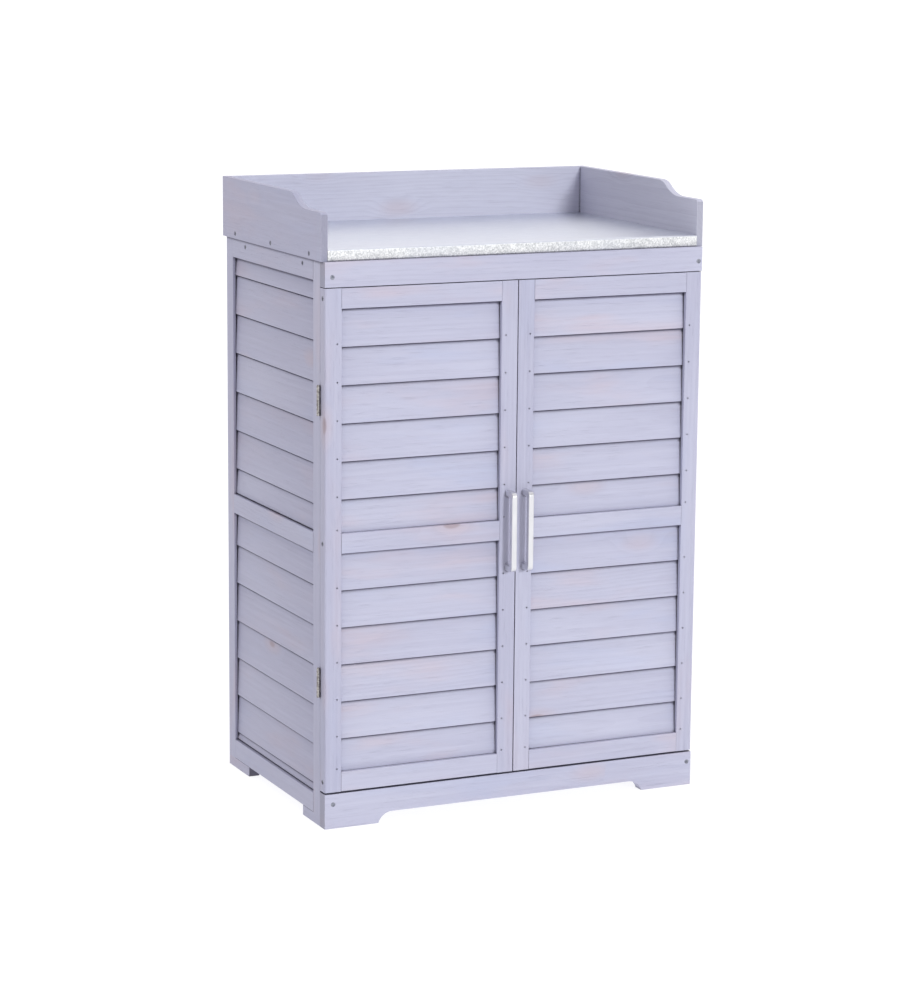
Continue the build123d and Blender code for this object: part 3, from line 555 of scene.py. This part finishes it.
def worktop_sheet(material):
    """The zinc sheet: laid over the board, bent down over its front edge and never quite flat."""
    low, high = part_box("zinc_sheet")
    sheet = flat_sheet(low, high)
    bend_down(sheet, low, high)
    dent(sheet, low, high)
    only(sheet)
    wall = sheet.modifiers.new("sheet metal", "SOLIDIFY")
    wall.thickness = SHEET_THICKNESS
    wall.offset = -1
    bpy.ops.object.modifier_apply(modifier=wall.name)
    bpy.ops.object.shade_smooth_by_angle(angle=ROUNDED_UNDER)
    finish_with(sheet, material)
    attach(sheet, "cabinet")
    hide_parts("zinc_sheet")


# ---- every piece gets its finish ----------------------------------------------------------------
WOODEN = ("rail", "post", "stile", "apron", "plinth", "gallery", "cleats", "battens", "blocks",
          "panel", "board")
CUT_FRONT_TO_BACK = ("foot_blocks", "shelf_cleats")     # several pieces in a node, all along Y
STAIN_AND_PAINTED_LIGHT = {                             # by the first word that a board's name holds; on the gallery, painted shade (left) and painted light (back, right)
    "stile": 0.32,
    "door": 0.10,
    "apron": 0.10,
    "plinth": 0.10,
    "post": 0.30,
    "rail": 0.30,
    "blocks": 0.30,
    "gallery_left": 0.45,
    "gallery_back": -0.90,
    "gallery_right": -1.0,
}
# the side slats made darker: painted shade
SIDE_SLATS_PAINTED_SHADE = 0.45


def grain_of(node):
    """The longest way across a board is its grain."""
    if node in CUT_FRONT_TO_BACK:
        return "Y"
    low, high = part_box(node)
    size = high - low
    return "XYZ"[max(range(3), key=lambda axis: size[axis])]


def finish_wood():
    """The boards that stay as they are in the CAD, each cut from its own plank."""
    for node in nodes:
        if "screws" in node or not any(word in node for word in WOODEN):
            continue
        low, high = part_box(node)
        grain = grain_of(node)
        stain_and_light = next((amount for word, amount in STAIN_AND_PAINTED_LIGHT.items() if word in node), 0.0)
        plank = plank_for((low + high) / 2, grain)
        # the foot blocks' ends nearly black: painted shade over the end-grain stain
        ends = FEET_ENDS_STAIN_AND_SHADE if node == "foot_blocks" else ENDS_TAKE
        finish_with(nodes[node], washed_wood(f"washed_{node}", grain, plank, stain_and_light, ends))


def finish_fittings():
    """Hinges, strike plates, screws, nails, handles and catches."""
    plates = plated_steel("zinc_plated_hinges", (0.50, 0.48, 0.46, 1), (0.28, 0.26, 0.26, 1), 0.8)
    screws = plated_steel("zinc_plated_screws", (0.36, 0.37, 0.43, 1), (0.20, 0.21, 0.26, 1), 0.6)
    nails = plated_steel("washed_over_nails", (0.66, 0.65, 0.74, 1), (0.48, 0.47, 0.56, 1), 0.4)
    bar_metal = satin_aluminium("satin_aluminium")
    for node in nodes:
        if node.endswith("nails"):
            finish_with(nodes[node], nails)
        elif "screws" in node:
            finish_with(nodes[node], screws)
        elif "hinge" in node or "strike" in node:
            finish_with(nodes[node], plates)
        elif node.endswith("_handle"):
            finish_with(nodes[node], bar_metal)
    finish_with(nodes["magnetic_catches"], moulded_plastic("moulded_catches"))


def fit_slats_and_back():
    """The lapped slats of the doors and sides, and the back boards."""
    door_slats = washed_wood("washed_door_slats", "X")
    side_slats = washed_wood("washed_side_slats", "Y", stain_and_light=SIDE_SLATS_PAINTED_SHADE)
    for side in ("left", "right"):
        panel = fitted_boards(f"{side}_door_slats", f"{side}_door_lapped_slats", f"{side}_door",
                              door_slats, "X", DOOR_SLAT_LEAN, SLAT_EASED)
        panel = fitted_boards(f"{side}_side_slats", f"{side}_side_lapped_slats", "cabinet",
                              side_slats, "Y", SIDE_SLAT_LEAN, SLAT_EASED)
    back = fitted_boards("back_boards", "back_planks", "cabinet",
                         washed_wood("washed_back", "Z"), "Z", BACK_LEAN, BACK_EASED)


finish_wood()
finish_fittings()
fit_slats_and_back()
worktop_sheet(galvanised("galvanised_sheet"))

# ---- floor and light ----------------------------------------------------------------------------
FLOOR_SIZE = 120
FLOOR_GLOW = 0.86
FLOOR_TONES = ((0.24, 0.24, 0.245, 1), (0.26, 0.26, 0.265, 1))
ROOM_DIM = 0.32
ROOM_BRIGHT = 1.15
ROOM_BRIGHT_WAY = (0.4, 1.0, 1.3)           # behind the cabinet, above it and a little to the right
ROOM_SEEN = 1.1                             # the room's own walls, as white as the floor
ROOM_COLOUR = (1.0, 0.985, 1.0, 1)
FRONT_LIGHT = 1.4
FRONT_COLOUR = (0.98, 1.0, 0.99)
FRONT_FROM = (0.14, -0.95, 0.29)
FRONT_SPREAD = math.radians(10)


def light_table():
    """A wide white floor, lit from below, with a trace of unevenness."""
    bpy.ops.object.select_all(action="DESELECT")
    bpy.ops.mesh.primitive_plane_add(size=FLOOR_SIZE)
    floor = bpy.context.object
    floor.name = "floor"
    material, tree, shader = new_finish("white_floor", 0.9)
    unevenness = cloud(tree, on_the_piece(tree), (0.6, 0.6, 0.6))
    tree.links.new(tint(tree, unevenness, *FLOOR_TONES), shader.inputs["Base Color"])
    shader.inputs["Specular IOR Level"].default_value = 0.0
    shader.inputs["Emission Color"].default_value = (1, 1, 1, 1)
    shader.inputs["Emission Strength"].default_value = FLOOR_GLOW
    finish_with(floor, material)


def studio():
    """A white room, brightest overhead and behind, dimmest low on the left, and a front light."""
    world = bpy.data.worlds.new("white_room")
    bpy.context.scene.world = world
    world.use_nodes = True
    tree = world.node_tree
    room = tree.nodes["Background"]
    bright_way = calc_dot(tree, put(tree, "TexCoord").outputs["Generated"], ROOM_BRIGHT_WAY)
    level = spread(tree, bright_way, 0.05, 1.1, ROOM_DIM, ROOM_BRIGHT)
    seen = calc(tree, "MULTIPLY", put(tree, "LightPath").outputs["Is Camera Ray"], ROOM_SEEN)
    room.inputs["Color"].default_value = ROOM_COLOUR
    tree.links.new(calc(tree, "MAXIMUM", level, seen), room.inputs["Strength"])

    light = bpy.data.lights.new("front_light", "SUN")
    light.energy = FRONT_LIGHT
    light.color = FRONT_COLOUR
    light.angle = FRONT_SPREAD
    lamp = bpy.data.objects.new("front_light", light)
    lamp.rotation_euler = Vector(FRONT_FROM).to_track_quat("Z", "Y").to_euler()
    bpy.context.scene.collection.objects.link(lamp)


light_table()
studio()

# ---- camera -------------------------------------------------------------------------------------
AIM = Vector((-0.007, -0.014, 0.503))
CAMERA_AZIMUTH = math.radians(-25.10)       # from straight in front, towards the left side
CAMERA_HEIGHT = math.radians(10.78)
CAMERA_ROLL = math.radians(0.51)
CAMERA_DISTANCE = 5.35
LENS = 109.9

camera = bpy.data.cameras.new("camera")
camera.lens = LENS
eye = bpy.data.objects.new("camera", camera)
bpy.context.scene.collection.objects.link(eye)
back_way = Vector((
    math.sin(CAMERA_AZIMUTH) * math.cos(CAMERA_HEIGHT),
    -math.cos(CAMERA_AZIMUTH) * math.cos(CAMERA_HEIGHT),
    math.sin(CAMERA_HEIGHT),
))
eye.location = AIM + back_way * CAMERA_DISTANCE
upright = (-back_way).to_track_quat("-Z", "Y").to_matrix().to_4x4()
eye.rotation_euler = (upright @ Matrix.Rotation(CAMERA_ROLL, 4, "Z")).to_euler()
bpy.context.scene.camera = eye
bpy.context.scene.view_settings.view_transform = "Standard"
